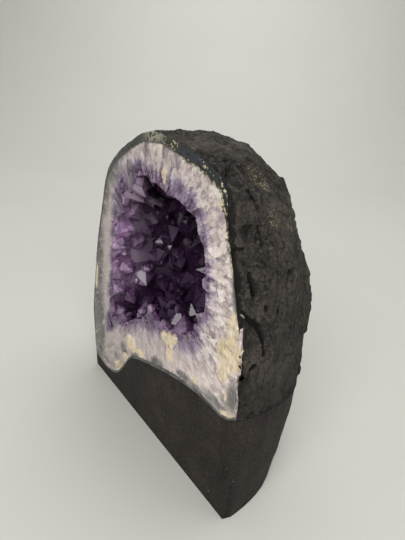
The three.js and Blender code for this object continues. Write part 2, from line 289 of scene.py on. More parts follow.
CRACKS = [
    # line, half width and depth in millimetres
    (at_rock((37, 3, 229), (40, 5, 229), (44, 6, 228), (47, 9, 228)), 1.0, 4.5),
    (at_rock((52, 11, 227), (55, 16, 227), (56, 18, 225), (58, 21, 223), (59, 23, 221)), 1.2, 4.5),
    (at_rock((59, 5, 223), (63, 9, 222), (67, 12, 217)), 4.2, 4.4),
    (at_rock((60, 9, 223), (62, 11, 222)), 2.4, 2.5),
    (at_rock((70, 15, 214), (72, 18, 209), (74, 21, 204)), 1.2, 4.5),
    (at_rock((79, 12, 192), (79, 14, 188)), 4.2, 3.6),
    (at_rock((77, 20, 194), (79, 21, 189), (80, 22, 184)), 1.0, 3.5),
    (at_rock((49, 33, 227), (49, 35, 226)), 1.8, 2.8),
    (at_rock((80, 0, 184), (81, 7, 184)), 1.0, 1.6),
    (at_rock((86, 10, 170), (88, 11, 164), (89, 12, 158)), 1.2, 5),
    (at_rock((92, 39, 168), (93, 39, 160)), 2.6, 4.6),
    (at_rock((91, 2, 151), (93, 6, 147), (96, 11, 143), (98, 13, 138), (101, 14, 132), (103, 14, 126)), 1.4, 4),
    (at_rock((96, 4, 139), (98, 5, 131)), 6, 2.4),
    (at_rock((100, 1, 113), (100, 4, 117), (102, 8, 119)), 1.6, 3.5),
    (at_rock((101, 4, 110), (101, 5, 107)), 4, 2.2),
    (at_rock((95, 18, 152), (95, 18, 150)), 1.4, 2.2),
    (at_rock((95, 28, 148), (95, 28, 146)), 1.4, 2.2),
    (at_rock((-70, 24, 204), (-76, 31, 197), (-78, 39, 186), (-80, 44, 178)), 1.1, 2.4),
    (at_rock((-96, 30, 120), (-97, 34, 110), (-98, 41, 103), (-97, 42, 92)), 1.2, 2.4),
    (at_rock((-20, 86, 200), (-9, 92, 193), (-1, 92, 198), (8, 91, 194)), 1.1, 2.2),
    (at_rock((30, 108, 130), (36, 106, 119), (44, 103, 113), (46, 100, 104)), 1.2, 2.4),
]
KNOBS = [
    # line, half width and height in millimetres
    (at_rock((98, 0, 121), (99, 0, 116)), 5.5, 3.0),
    (at_rock((80, 70, 160), (80, 70, 157)), 2.4, 1.6),
    (at_rock((86, 74, 117), (86, 74, 114)), 2.4, 1.5),
    (at_rock((89, 72, 86), (88, 70, 83)), 2.6, 1.8),
    (at_rock((56, 58, 216), (58, 58, 212)), 2.2, 1.4),
    (at_rock((71, 59, 200), (73, 59, 196)), 2.4, 1.6),
]
SANDY = [
    # place and reach in millimetres
    (at_rock((57, 33, 219))[0], 13), (at_rock((76, 35, 198))[0], 10), (at_rock((78, 48, 191))[0], 6),
    (at_rock((29, 8, 231))[0], 5), (at_rock((62, 37, 213))[0], 7),
]


# Rock and cement

def is_outside(middles, normals):
    """Faces that look away from the inside, but for the sawn face"""
    outward = ((middles - np.array(MIDDLE)) * normals).sum(axis=1) > 0
    return outward & ~is_sawn(middles, normals)


def is_rock_skin(middles, normals):
    """The rock's outside, without the bed that it sits on in the cement"""
    return is_outside(middles, normals) & ~((normals[:, 2] < -0.55) & (middles[:, 2] < 0.1))


def is_cement_skin(middles, normals):
    """The cement's sides, without its bed and the ground"""
    sides = is_outside(middles, normals) & (np.abs(normals[:, 2]) < 0.5)
    return sides


def is_sawn(middles, normals):
    """Faces in the plane of the saw cut"""
    return (normals[:, 1] < -0.98) & (middles[:, 1] < FACE_Y + 0.5 * MM)


def where_quartz_ends_it(places):
    """Places on the right of the sawn face, where the quartz reaches the very edge of the rock"""
    return (places[:, 0] > 58 * MM) & (places[:, 2] < 0.2) & (places[:, 2] > 0.09)


def edge_near_cracks(lines):
    """A rule for the longest edge on the rock: short beside a narrow crack"""
    def longest_at(middles):
        longest = np.full(len(middles), ROCK_EDGE)
        for line, (_, half_width, _) in zip(lines, CRACKS):
            if half_width < NARROW:
                longest[near_line(middles, line) < 3.5 * MM] = CRACK_EDGE
        return longest
    return longest_at


def smooth_skin(piece, skin, repeat):
    """Rounds off the flat facets of a skin, away from its borders"""
    choose(piece, "VERT", skin)
    bpy.ops.object.mode_set(mode="EDIT")
    bpy.ops.mesh.vertices_smooth(factor=0.5, repeat=repeat)
    bpy.ops.object.mode_set(mode="OBJECT")


def rock_shell(edges):
    """The rock: lumps, grain, cracks and pits, with a broken edge round the sawn face"""
    rock = copy_of("rock_rind", "rock_shell")
    make_fine(rock, is_rock_skin, edge_near_cracks([laid_on(rock, line) for line, _, _ in CRACKS]))
    skin = corners_on(rock, is_rock_skin(*faces_of(rock)))
    other = corners_on(rock, ~is_rock_skin(*faces_of(rock)))
    smooth_skin(rock, skin & ~other, 10)
    places = points_of(rock)
    sawn = np.abs(places[:, 1] - FACE_Y) < 0.05 * MM
    behind = ease(0, 8 * MM, places[:, 1] - FACE_Y)
    free = skin & (~other | sawn)
    marks = [(line, half_width, -depth) for line, half_width, depth in CRACKS] + KNOBS
    reaches = [near_line(places, laid_on(rock, line)) for line, _, _ in marks]
    calm = np.ones(len(places))
    # how much painted shade each crack puts into the paint, the narrow cracks fully
    crack_shade = np.zeros(len(places))
    for number, ((_, half_width, height), away) in enumerate(zip(marks, reaches)):
        name = f"mark_{number + 1}"
        near = 1 - ease(0.2 * half_width * MM, 1.5 * half_width * MM, away)
        weigh(rock, name, free * near)
        push(rock, name, height * MM)
        if half_width < NARROW:
            calm = np.minimum(calm, 0.25 + 0.75 * ease(half_width * MM, 3 * half_width * MM, away))
        if height < 0:
            crack_shade = np.maximum(crack_shade, near * (1 if half_width < NARROW else 0.55))
    weigh(rock, "lumps", free * (0.35 + 0.65 * behind) * calm)
    weigh(rock, "grain", free * calm)
    push(rock, "lumps", 3.4 * MM, clouds("lumps", 17 * MM, 2), 0.6)
    push(rock, "lumps", 1.2 * MM, ridges("ledges", 11 * MM), 0.6)
    push(rock, "lumps", 2.2 * MM, clouds("knobs", 6.5 * MM, 3), 0.58)
    push(rock, "grain", 0.9 * MM, clouds("grit", 2.6 * MM, 2, "ORIGINAL_PERLIN"), 0.58)
    to_the_edge = sawn & where_quartz_ends_it(places)
    flatten(rock, sawn, (1, 0, 1), (0, FACE_Y + SEAM_STEP, 0))
    flatten(rock, to_the_edge, (1, 0, 1), (0, FACE_Y + EDGE_STEP, 0))
    keep_within(rock, *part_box("rock_rind"))
    rock.vertex_groups.clear()
    lay_grain(rock, *edges)
    write_field(rock, "crack_shade", crack_shade)
    finish_of(rock, painted_rock(), sawn_rock())
    middles, normals = faces_of(rock)
    sawn = (normals[:, 1] < -0.98) & (middles[:, 1] < FACE_Y + 1.2 * EDGE_STEP)
    paint_faces(rock, sawn, 1)
    paint_faces(rock, sawn & where_quartz_ends_it(middles), 0)
    shade(rock, 50)
    return rock


def cement_foot():
    """The cement: a trowelled front and sides, with soft arrises"""
    foot = copy_of("cement_base", "cement_foot")
    make_fine(foot, is_cement_skin, lambda middles: np.full(len(middles), CEMENT_EDGE))
    skin = corners_on(foot, is_cement_skin(*faces_of(foot)))
    other = corners_on(foot, ~is_cement_skin(*faces_of(foot)))
    smooth_skin(foot, skin & ~other, 8)
    weigh(foot, "sides", skin & ~other)
    push(foot, "sides", 1.6 * MM, clouds("trowelled", 20 * MM, 1), 0.62)
    push(foot, "sides", 0.7 * MM, clouds("cement_grit", 3 * MM, 3), 0.6)
    keep_within(foot, *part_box("cement_base"))
    foot.vertex_groups.clear()
    finish_of(foot, painted_cement())
    shade(foot, 50)
    return foot


def shade(piece, angle):
    """Smooth shading up to an angle, in degrees"""
    only(piece)
    bpy.ops.object.shade_smooth_by_angle(angle=math.radians(angle))


# The sawn quartz

def outline_of(piece, inner):
    """The radius from the hollow's middle to the sawn face's inner or outer edge, by angle"""
    sawn = is_sawn(*faces_of(piece))
    corners = corners_of_faces(piece)
    pairs = np.sort(np.concatenate([corners[sawn][:, [0, 1]], corners[sawn][:, [1, 2]],
                                    corners[sawn][:, [2, 0]]]), axis=1)
    edges, counts = np.unique(pairs, axis=0, return_counts=True)
    places = points_of(piece)[edges[counts == 1]]
    samples = np.concatenate([places[:, 0] * (1 - s) + places[:, 1] * s for s in np.linspace(0, 1, 300)])
    x = samples[:, 0] - HOLLOW.x
    z = samples[:, 2] - HOLLOW.z
    angles = np.round(np.degrees(np.arctan2(z, x))).astype(int) % 360
    radii = np.hypot(x, z)
    found = np.full(360, np.nan)
    for angle in range(360):
        here = radii[angles == angle]
        if len(here):
            found[angle] = here.min() if inner else here.max()
    known = ~np.isnan(found)
    return np.interp(np.arange(360), np.arange(360)[known], found[known], period=360)


def around_and_out(places, hollow_edge, rock_edge):
    """For each place on the face: its angle, its distance out of the hollow, and that as a share"""
    x = places[:, 0] - HOLLOW.x
    z = places[:, 2] - HOLLOW.z
    degrees = np.degrees(np.arctan2(z, x)) % 360
    inner = np.interp(degrees, np.arange(360), hollow_edge, period=360)
    outer = np.interp(degrees, np.arange(360), rock_edge, period=360)
    out = np.hypot(x, z) - inner
    return degrees, out, out / (outer - inner)


# Soft spots on the sawn face: x, z, reach along and across in millimetres, turn in degrees, strength
VIOLET = [
    (-22, 207, 18, 7, 0, 1), (-50, 190, 10, 12, 0, 0.9), (38, 201, 13, 6, -20, 0.9), (56, 182, 5, 12, 0, 0.8),
    (64, 134, 8, 9, 0, 0.9), (52, 108, 14, 13, 0, 1), (-32, 82, 12, 7, 30, 1), (-72, 62, 7, 12, 0, 0.8),
    (-62, 120, 5, 30, 0, 0.8), (0, 98, 16, 5, 20, 0.6), (61, 158, 5, 14, 0, 0.7), (68, 150, 3, 10, 0, 0.4),
    (-60, 160, 5, 20, 0, 0.7), (20, 208, 9, 4, 0, 0.4), (72, 108, 9, 5, 0, 0.4), (42, 100, 10, 9, 0, 1),
    (48, 91, 8, 6, 0, 0.8),
]
AGATE = [
    (-95, 125, 13, 75, 0, 1), (-92, 50, 14, 50, 0, 1), (-66, 202, 12, 18, -40, 0.9), (-80, 180, 11, 26, -15, 0.9),
    # The weak wide spot at x -12, z 220 greys the top of the band as painted shade, not agate
    (-12, 220, 46, 8, 0, 0.45), (-50, 216, 16, 7, 25, 0.75),
    (-78, 18, 22, 8, 0, 0.6), (87, 162, 4.5, 19, 12, 1), (95, 96, 6, 12, 0, 0.9), (80, 82, 16, 5, 0, 0.9),
    (12, 68, 10, 5, 20, 1), (45, 79, 8, 3, 10, 1), (-40, 50, 8, 10, 40, 0.8), (-18, 56, 12, 4, 30, 0.9),
    (48, 222, 20, 4, -22, 1), (-38, 227, 24, 5, 12, 1), (18, 228, 18, 3, -6, 0.9), (62, 79, 14, 3, 0, 0.8),
    (88, 88, 8, 6, 0, 0.7), (-55, 34, 8, 8, 40, 0.7),
]
CALCITE = [
    (88, 121, 11, 10, 0, 1), (84, 107, 4.5, 7, 0, 1), (88, 138, 5, 11, 0, 1), (24, 97, 8, 6, 10, 1),
    (28, 88, 4, 9, 0, 1), (33, 101, 4, 4, 0, 1), (-28, 63, 9, 7, 10, 1), (-13, 62, 7, 4, 20, 1),
    (-38, 43, 6, 4, 40, 1), (-50, 27, 8, 4.5, 35, 1), (-97, 101, 3.5, 14, 0, 1), (76, 188, 2, 22, 20, 0.9),
    (67, 206, 4, 4, 20, 0.8), (8, 210, 4, 8, 5, 0.7), (94, 81, 9, 3, 10, 0.8), (58, 84, 3.5, 3, 0, 0.9),
    (89, 92, 3, 8, 10, 0.6), (2, 226, 5, 4, 0, 0.6),
]


def spots_at(places, spots):
    """How strongly soft oval spots cover each place: 1 in the middle of a spot, 0.5 at its reach"""
    cover = np.zeros(len(places))
    for x, z, along, across, turn, strength in spots:
        cos, sin = math.cos(math.radians(turn)), math.sin(math.radians(turn))
        dx = places[:, 0] / MM - x
        dz = places[:, 2] / MM - z
        away = np.hypot((dx * cos + dz * sin) / along, (dz * cos - dx * sin) / across)
        cover = np.maximum(cover, strength * np.clip(1 - away / 2, 0, 1))
    return cover


def write_field(piece, name, values):
    """Numbers that the corners carry for the materials"""
    field = piece.data.attributes.new(name, "FLOAT", "POINT")
    field.data.foreach_set("value", values.astype(np.float32))


def lay_grain(piece, hollow_edge, rock_edge):
    """Writes on each corner where it lies on the band: angle and distance as a UV map, and fields"""
    places = points_of(piece)
    degrees, out, share = around_and_out(places, hollow_edge, rock_edge)
    fields = {
        "band": share,
        "violet": spots_at(places, VIOLET),
        "agate": spots_at(places, AGATE),
        "calcite": spots_at(places, CALCITE),
    }
    for name, values in fields.items():
        write_field(piece, name, values)
    corners = np.empty(len(piece.data.loops), np.int32)
    piece.data.loops.foreach_get("vertex_index", corners)
    around = np.radians(degrees) * 80 * MM
    grain = np.stack([around, out], axis=1)[corners].reshape(-1, 3, 2)
    whole = 2 * math.pi * 80 * MM
    across_seam = np.ptp(grain[:, :, 0], axis=1) > whole / 2
    low = grain[:, :, 0] < whole / 2
    grain[:, :, 0] += whole * (low & across_seam[:, None])
    while piece.data.uv_layers:
        piece.data.uv_layers.remove(piece.data.uv_layers[0])
    layer = piece.data.uv_layers.new(name="grain")
    layer.data.foreach_set("uv", grain.reshape(-1).astype(np.float32))


def widen_band(wall, hollow_edge, band_edge, rind_edge):
    """Closes the seam by the crystals, and on the right takes the quartz out to the rock's ragged edge"""
    sawn = is_sawn(*faces_of(wall))
    on_face = corners_on(wall, sawn)
    border = on_face & corners_on(wall, ~sawn)
    places = points_of(wall)
    degrees, _, share = around_and_out(places, hollow_edge, band_edge)
    outward = places - np.array(HOLLOW)
    outward[:, 1] = 0
    outward /= np.linalg.norm(outward, axis=1)[:, None]
    strip = np.interp(degrees, np.arange(360), rind_edge - band_edge, period=360)
    right = on_face & where_quartz_ends_it(places)
    draw = np.random.default_rng(3)
    ragged = draw.uniform(0.1, 1.0, len(places)) * MM
    low = 0.15 + 0.85 * ease(0.152, 0.126, places[:, 2])
    reach = low * np.maximum(strip - ragged, 0) + 1.6 * MM * spots_at(places, CALCITE[:1])
    reach -= 4.5 * MM * np.exp(-((places[:, 2] - 0.107) / 0.006) ** 2)
    crumbs = border * draw.uniform(0.45, 1.4, len(places)) * MM
    places += outward * np.where(right, ease(0.7, 1.0, share) * reach, (share > 0.7) * crumbs)[:, None]
    inner = border & (share < 0.3)
    places[inner] -= outward[inner] * 0.36 * MM
    places[inner, 1] += 0.06 * MM
    wall.data.vertices.foreach_set("co", places.ravel().astype(np.float32))
    wall.data.update()


def quartz_band():
    """The quartz wall: a polished band in front, and the bed of the crystals behind"""
    wall = copy_of("quartz_wall", "quartz_band")
    rind = copy_of("rock_rind", "rock_outline")
    edges = outline_of(wall, True), outline_of(wall, False)
    rind_edge = outline_of(rind, False)
    bpy.data.objects.remove(rind)
    make_fine(wall, is_sawn, lambda middles: np.full(len(middles), FACE_EDGE))
    widen_band(wall, *edges, rind_edge)
    lay_grain(wall, *edges)
    sawn = is_sawn(*faces_of(wall))
    finish_of(wall, crystal_bed(), polished_band())
    _, _, share = around_and_out(faces_of(wall)[0], *edges)
    paint_faces(wall, sawn | (share > 0.9), 1)
    _, _, share = around_and_out(points_of(wall), *edges)
    outer = corners_on(wall, ~sawn) & (share > 0.5)
    roughen_sawn(wall, corners_on(wall, sawn) & ~outer, edges)
    return wall, edges


def roughen_sawn(piece, chosen, edges):
    """Sinks the sugary grains of the sawn quartz a little, more on the right, and hardly at the seam"""
    coarse = ease(-60 * MM, 40 * MM, points_of(piece)[:, 0])
    _, out, _ = around_and_out(points_of(piece), *edges)
    from_seam = ease(0, 2.2 * MM, np.abs(out))
    weigh(piece, "sugar", chosen * (0.3 + 0.7 * coarse) * (0.1 + 0.9 * from_seam))
    grains = clouds("quartz_grains", 3.4 * MM, 1, "VORONOI_F1")
    push(piece, "sugar", 1.3 * MM, grains, 0, direction="Y")
    piece.vertex_groups.clear()


# The crystals

CRYSTAL_SIZES = [
    # node to stand on, how many, smallest and largest radius, least distance as a share of the radii
    ("quartz_wall", 50, 7.0, 10.0, 0.64),
    ("quartz_wall", 80, 4.6, 6.6, 0.64),
    ("amethyst_crust", 150, 2.6, 4.6, 0.8),
]
BLUNT = 3  # the forms from this one on are the blunt ones, for the mouth


def crystal_form(name, tip_height, shoulder_turn, aside):
    """One six-sided point, radius 1, standing on the origin: a shaft and a tip that leans aside"""
    bpy.ops.mesh.primitive_cylinder_add(vertices=6, radius=1, depth=1, end_fill_type="NGON")
    form = bpy.context.object
    form.name = name
    bpy.ops.object.mode_set(mode="EDIT")
    bpy.ops.mesh.select_all(action="SELECT")
    bpy.ops.transform.translate(value=(0, 0, 0.5))
    bpy.ops.object.mode_set(mode="OBJECT")
    _, normals = faces_of(form)
    choose(form, "FACE", normals[:, 2] > 0.5)
    bpy.ops.object.mode_set(mode="EDIT")
    bpy.ops.transform.resize(value=(0.94, 0.94, 1))
    bpy.ops.mesh.extrude_region_move(TRANSFORM_OT_translate={"value": (*aside, tip_height)})
    bpy.ops.transform.resize(value=(0.03, 0.11, 1))
    bpy.ops.transform.rotate(value=math.radians(shoulder_turn), orient_axis="Z",
                             center_override=(*aside, 0))
    bpy.ops.object.mode_set(mode="OBJECT")
    return form


def crystal_forms():
    """The few forms that all the small crystals are copies of: sharp ones, then blunt ones"""
    makes = [
        (1.05, 30, (0.22, 0.1)), (0.95, 80, (0.1, -0.34)), (0.9, 0, (0.05, 0.0)),
        (0.7, 60, (-0.25, 0.15)), (0.6, 20, (0.15, -0.2)), (0.5, 100, (0.2, 0.1)),
    ]
    return [crystal_form(f"crystal_form_{n + 1}", *make) for n, make in enumerate(makes)]


def hollow_sites(node):
    """Places and inward normals all over a node's side of the hollow, for crystals to stand on"""
    wall = copy_of(node, "hollow_sites")
    middles, normals = faces_of(wall)
    inward = ((middles - np.array(HOLLOW)) * normals).sum(axis=1) < 0
    chosen = inward & ~is_sawn(middles, normals)
    corners = points_of(wall)[corners_of_faces(wall)[chosen]]
    normals = normals[chosen]
    bpy.data.objects.remove(wall)
    areas = np.linalg.norm(np.cross(corners[:, 1] - corners[:, 0], corners[:, 2] - corners[:, 0]), axis=1)
    draw = np.random.default_rng(5)
    picked = draw.choice(len(areas), 9000, p=areas / areas.sum())
    u, v = draw.random((2, 9000))
    over = u + v > 1
    u[over], v[over] = 1 - u[over], 1 - v[over]
    a, b, c = corners[picked].transpose(1, 0, 2)
    return a + (b - a) * u[:, None] + (c - a) * v[:, None], normals[picked]


def scatter_crystals(forms, chance):
    """Stands crystals of three sizes in the hollow, none too close to another of its size"""
    placed = []
    for node, count, smallest, largest, closeness in CRYSTAL_SIZES:
        centres = np.empty((0, 3))
        radii = np.empty(0)
        for site, normal in zip(*hollow_sites(node)):
            radius = chance.uniform(smallest, largest) * MM
            away = np.linalg.norm(centres - site, axis=1)
            if (away < closeness * (radii + radius)).any():
                continue
            centres = np.vstack([centres, site])
            radii = np.append(radii, radius)
            level = FACE_Y + chance.uniform(1.4, 2.2) * MM
            inward = (HOLLOW - Vector(site)).normalized()
            axis = (Vector(normal) + inward).normalized()
            placed.append(stand_crystal(chance, forms, Vector(site), axis, radius, level))
            if len(radii) == count:
                break
    return placed


def stand_crystal(chance, forms, site, normal, radius, level):
    """One copy of a form, turned, leaned, set into the wall and sawn off at a level"""
    form = chance.choice(forms)
    crystal = form.copy()
    crystal.data = form.data.copy()
    bpy.context.scene.collection.objects.link(crystal)
    lean = Vector([chance.uniform(-0.34, 0.34) for _ in range(3)])
    axis = (normal + lean).normalized()
    turn = Vector((0, 0, 1)).rotation_difference(axis) @ Quaternion((0, 0, 1), chance.uniform(0, 1.05))
    sink = 0.8 * MM + 0.45 * radius
    shaft = sink + 1.5 * MM + radius * chance.uniform(0.0, 0.6)
    stretch = Matrix.Diagonal((radius * chance.uniform(0.85, 1.1), radius, shaft, 1))
    crystal.data.transform(stretch)
    lift_tip(crystal, shaft, radius)
    crystal.data.transform(Matrix.Translation(site - axis * sink) @ turn.to_matrix().to_4x4())
    saw_off_front(crystal, level)
    return crystal


def lift_tip(crystal, shaft, radius):
    """Gives the tip its own height over the shoulder, whatever the shaft's"""
    places = points_of(crystal)
    tip = places[:, 2] > shaft * 1.001
    places[tip, 2] = shaft + (places[tip, 2] / shaft - 1) * radius
    crystal.data.vertices.foreach_set("co", places.ravel().astype(np.float32))
    crystal.data.update()


def saw_off_front(crystal, level):
    """Cuts a crystal off where it would stand out of the hollow, and closes the cut"""
    if points_of(crystal)[:, 1].min() > level:
        return
    only(crystal)
    bpy.ops.object.mode_set(mode="EDIT")
    bpy.ops.mesh.select_all(action="SELECT")
    bpy.ops.mesh.bisect(plane_co=(0, level, 0), plane_no=(0, -1, 0), clear_outer=True, use_fill=True)
    bpy.ops.object.mode_set(mode="OBJECT")


def mouth_outline():
    """The radius of the crust's mouth by angle, evened out between its large points"""
    crust = copy_of("amethyst_crust", "mouth_outline")
    mouth = outline_of(crust, True)
    bpy.data.objects.remove(crust)
    return sum(np.roll(mouth, shift) for shift in range(-8, 9)) / 17


def crystals_round_mouth(forms, chance):
    """Crystals that grow inwards round the mouth and are sawn through lengthwise"""
    mouth = mouth_outline()
    made = []
    angle = 0
    while angle < 360:
        radius = chance.uniform(5.0, 9.5) * MM
        lower = 5 * MM * max(0, 1 - abs(angle - 85) / 45)
        edge = mouth[angle] + 6 * MM - lower
        outward = Vector((math.cos(math.radians(angle)), 0, math.sin(math.radians(angle))))
        site = Vector((HOLLOW.x, FACE_Y + chance.uniform(0.8, 4.5) * MM, HOLLOW.z)) + outward * edge
        inward = (Vector((0, 0.25, 0)) - outward).normalized()
        level = FACE_Y + chance.uniform(0.03, 0.12) * MM
        made.append(stand_crystal(chance, forms[BLUNT:], site, inward, radius, level))
        angle += round(math.degrees(chance.uniform(1.1, 1.7) * radius / edge))
    return made


def open_mouth(druse):
    """Takes away the points that would stand into the mouth at its upper right, and leaves a broken edge"""
    middle = at_rock((18, 9.5, 162))[0]
    bpy.ops.mesh.primitive_cone_add(vertices=26, radius1=30 * MM, radius2=40.5 * MM, depth=21 * MM,
                                    location=middle, rotation=(math.pi / 2, 0, 0))
    cutter = bpy.context.object
    cutter.name = "mouth_cutter"
    pulled_in = np.random.default_rng(17).random(len(cutter.data.vertices)) < 0.5
    choose(cutter, "VERT", pulled_in)
    bpy.ops.object.mode_set(mode="EDIT")
    bpy.ops.transform.resize(value=(0.92, 1, 0.92), center_override=middle)
    bpy.ops.object.mode_set(mode="OBJECT")
    only(druse)
    cut = druse.modifiers.new("open_mouth", "BOOLEAN")
    cut.operation = "DIFFERENCE"
    cut.object = cutter
    cut.solver = "EXACT"
    bpy.ops.object.modifier_apply(modifier=cut.name)
    bpy.data.objects.remove(cutter)


def mark_facets(piece):
    """Gives each flat crystal face a number of its own from 0 to 1, for its polish and its tone"""
    middles, normals = faces_of(piece)
    planes = np.column_stack([normals, (middles * normals).sum(axis=1) / (20 * MM)])
    _, plane = np.unique(np.round(planes, 2), axis=0, return_inverse=True)
    plane = plane.ravel()
    tones = np.random.default_rng(11).random(plane.max() + 1)
    field = piece.data.attributes.new("facet", "FLOAT", "FACE")
    field.data.foreach_set("value", tones[plane].astype(np.float32))


def amethyst_druse(edges):
    """The crust: the CAD crust's large points with smaller ones grown among them, in one solid"""
    druse = copy_of("amethyst_crust", "amethyst_druse")
    forms = crystal_forms()
    chance = random.Random(7)
    crystals = scatter_crystals(forms, chance) + crystals_round_mouth(forms, chance)
    bpy.ops.object.select_all(action="DESELECT")
    group = bpy.data.collections.new("small_crystals")
    bpy.context.scene.collection.children.link(group)
    for crystal in crystals:
        bpy.context.scene.collection.objects.unlink(crystal)
        group.objects.link(crystal)
    only(druse)
    join = druse.modifiers.new("grown_together", "BOOLEAN")
    join.operation = "UNION"
    join.operand_type = "COLLECTION"
    join.collection = group
    join.solver = "EXACT"
    bpy.ops.object.modifier_apply(modifier=join.name)
    for gone in crystals + forms:
        bpy.data.objects.remove(gone)
    bpy.data.collections.remove(group)
    open_mouth(druse)
    clean(druse)
    make_fine(druse, is_sawn, lambda middles: np.full(len(middles), FACE_EDGE))
    mark_facets(druse)
    lay_grain(druse, *edges)
    finish_of(druse, amethyst(), sawn_amethyst())
    paint_faces(druse, faces_of(druse)[0][:, 1] < FACE_Y + 0.14 * MM, 1)
    roughen_sawn(druse, corners_on(druse, is_sawn(*faces_of(druse))), edges)
    return druse


# Finishes

class Finish:
    """A node material built round one Principled shader"""

    def __init__(self, name):
        self.material = bpy.data.materials.new(name)
        self.material.use_nodes = True
        self.tree = self.material.node_tree
        self.shader = self.tree.nodes["Principled BSDF"]
        self.place = self.tree.nodes.new("ShaderNodeTexCoord").outputs["Object"]

    def give(self, socket, value):
        """A link where the value is another node's output, and a plain value otherwise"""
        if isinstance(value, bpy.types.NodeSocket):
            self.tree.links.new(value, socket)
        else:
            socket.default_value = value

    def set(self, **values):
        """Values or links for the shader's own sockets, with _ for a space"""
        for name, value in values.items():
            self.give(self.shader.inputs[name.replace("_", " ")], value)

    def node(self, kind, outlet, inputs, **settings):
        """A node with its settings and inputs, and one of its outlets back"""
        node = self.tree.nodes.new("ShaderNode" + kind)
        for name, value in settings.items():
            setattr(node, name, value)
        for name, value in inputs.items():
            self.give(node.inputs[name], value)
        return node.outputs[outlet]

    def stretched(self, vector, scale, turn=(0, 0, 0)):
        """The same place, scaled and turned"""
        inputs = {"Vector": vector, "Scale": scale, "Rotation": turn}
        return self.node("Mapping", "Vector", inputs)

    def noise(self, scale, vector=None, detail=3, rough=0.5, twist=0):
        """Cloudy noise from 0 to 1"""
        inputs = {"Vector": vector or self.place, "Scale": scale, "Detail": detail,
                  "Roughness": rough, "Distortion": twist}
        return self.node("TexNoise", "Fac", inputs)

    def cells(self, scale, vector=None, outlet="Distance", feature="F1", distance="EUCLIDEAN"):
        """Voronoi cells: distance from their middles, or a colour of their own"""
        inputs = {"Vector": vector or self.place, "Scale": scale}
        return self.node("TexVoronoi", outlet, inputs, feature=feature, distance=distance)

    def sum_places(self, value, reach):
        """The place, pushed about by a value so that round shapes come out ragged"""
        return self.node("VectorMath", "Vector", {0: self.place, 1: self.sum(value, reach, "MULTIPLY")})

    def along(self, axis, vector=None):
        """One of the three numbers of a place"""
        return self.node("SeparateXYZ", axis, {"Vector": vector or self.place})

    def own_tone(self, scale, vector=None, distance="EUCLIDEAN"):
        """A number from 0 to 1 that is the same all over a cell and differs from cell to cell"""
        return self.node("SeparateColor", 0, {"Color": self.cells(scale, vector, "Color", distance=distance)})

    def specks(self, scale, reach, rare, vector=None):
        """1 on round specks in a few of the cells: reach as a share of a cell, rare as a share of cells"""
        dots = self.step(self.cells(scale, vector), reach, 0.6 * reach)
        return self.sum(dots, self.step(self.own_tone(scale, vector), 1 - rare, 1.01 - rare), "MULTIPLY")

    def field(self, name):
        """A number that the piece's corners carry"""
        return self.node("Attribute", "Fac", {}, attribute_name=name)

    def sum(self, a, b, how="ADD", clamp=False):
        """Two numbers put together"""
        return self.node("Math", 0, {0: a, 1: b}, operation=how, use_clamp=clamp)

    def step(self, value, low, high):
        """0 below low, 1 above high, and smooth between"""
        inputs = {"Value": value, "From Min": low, "From Max": high}
        return self.node("MapRange", "Result", inputs, interpolation_type="SMOOTHSTEP")

    def blend(self, share, a, b, how="MIX"):
        """Two colours mixed by a share"""
        node = self.tree.nodes.new("ShaderNodeMix")
        node.data_type = "RGBA"
        node.blend_type = how
        for socket, value in zip((node.inputs[0], node.inputs[6], node.inputs[7]), (share, a, b)):
            self.give(socket, value)
        return node.outputs[2]

    def ramp(self, value, *stops):
        """Colours along a value: pairs of a place from 0 to 1 and a colour"""
        node = self.tree.nodes.new("ShaderNodeValToRGB")
        while len(node.color_ramp.elements) < len(stops):
            node.color_ramp.elements.new(0.5)
        for element, (place, tint) in zip(node.color_ramp.elements, stops):
            element.position = place
            element.color = tint
        self.give(node.inputs[0], value)
        return node.outputs[0]

    def bump(self, height, depth, strength=1, normal=None):
        """A relief of a depth in metres, for the shader or another bump"""
        inputs = {"Height": height, "Distance": depth, "Strength": strength}
        if normal:
            inputs["Normal"] = normal
        return self.node("Bump", "Normal", inputs)


def tint(red, green, blue):
    """A colour from its 0 to 255 values as seen on a screen"""
    return (*[((v / 255 + 0.055) / 1.055) ** 2.4 if v > 10 else v / 255 / 12.92 for v in (red, green, blue)], 1)


BLACK_PAINT = tint(44, 40, 37)
WORN_PAINT = tint(72, 66, 61)
DUSTY_PAINT = tint(112, 104, 96)
# The deepest tone of the black paint, also used as painted shade in pores, creases, cracks, low on the rock and along
# the cut
DEEP_PAINT_AND_SHADE = tint(13, 12, 11)
GOLD_SAND = tint(190, 172, 138)
RUSTY_GROUND = tint(96, 82, 66)
PALE_GRAINS = tint(196, 190, 172)


def paint_over(finish, dust_share, contrast):
    """Matte black paint over sandy ground: painted shade in the pores, paler where it is worn or dusty"""
    mottle = finish.noise(430, detail=5, rough=0.8)
    ends = 0.5 - 0.5 * contrast, 0.5 + 0.5 * contrast
    mottle = finish.node("MapRange", "Result", {"Value": mottle, "To Min": ends[0], "To Max": ends[1]})
    paint = finish.ramp(mottle, (0.34, DEEP_PAINT_AND_SHADE), (0.47, BLACK_PAINT), (0.6, WORN_PAINT), (0.78, DUSTY_PAINT))
    dust = finish.step(finish.noise(34, detail=4, rough=0.6), 0.44, 0.68)
    paint = finish.blend(finish.sum(dust, dust_share, "MULTIPLY"), paint, DUSTY_PAINT)
    paint = finish.blend(finish.sum(finish.specks(150, 0.1, 0.05), 0.8, "MULTIPLY"), paint, PALE_GRAINS)
    # painted shade: dark spots standing for the shade in tiny pits
    painted_pore_shade = finish.sum(finish.step(finish.cells(480), 0.36, 0.0), 0.8 * contrast, "MULTIPLY")
    return finish.blend(painted_pore_shade, paint, DEEP_PAINT_AND_SHADE)


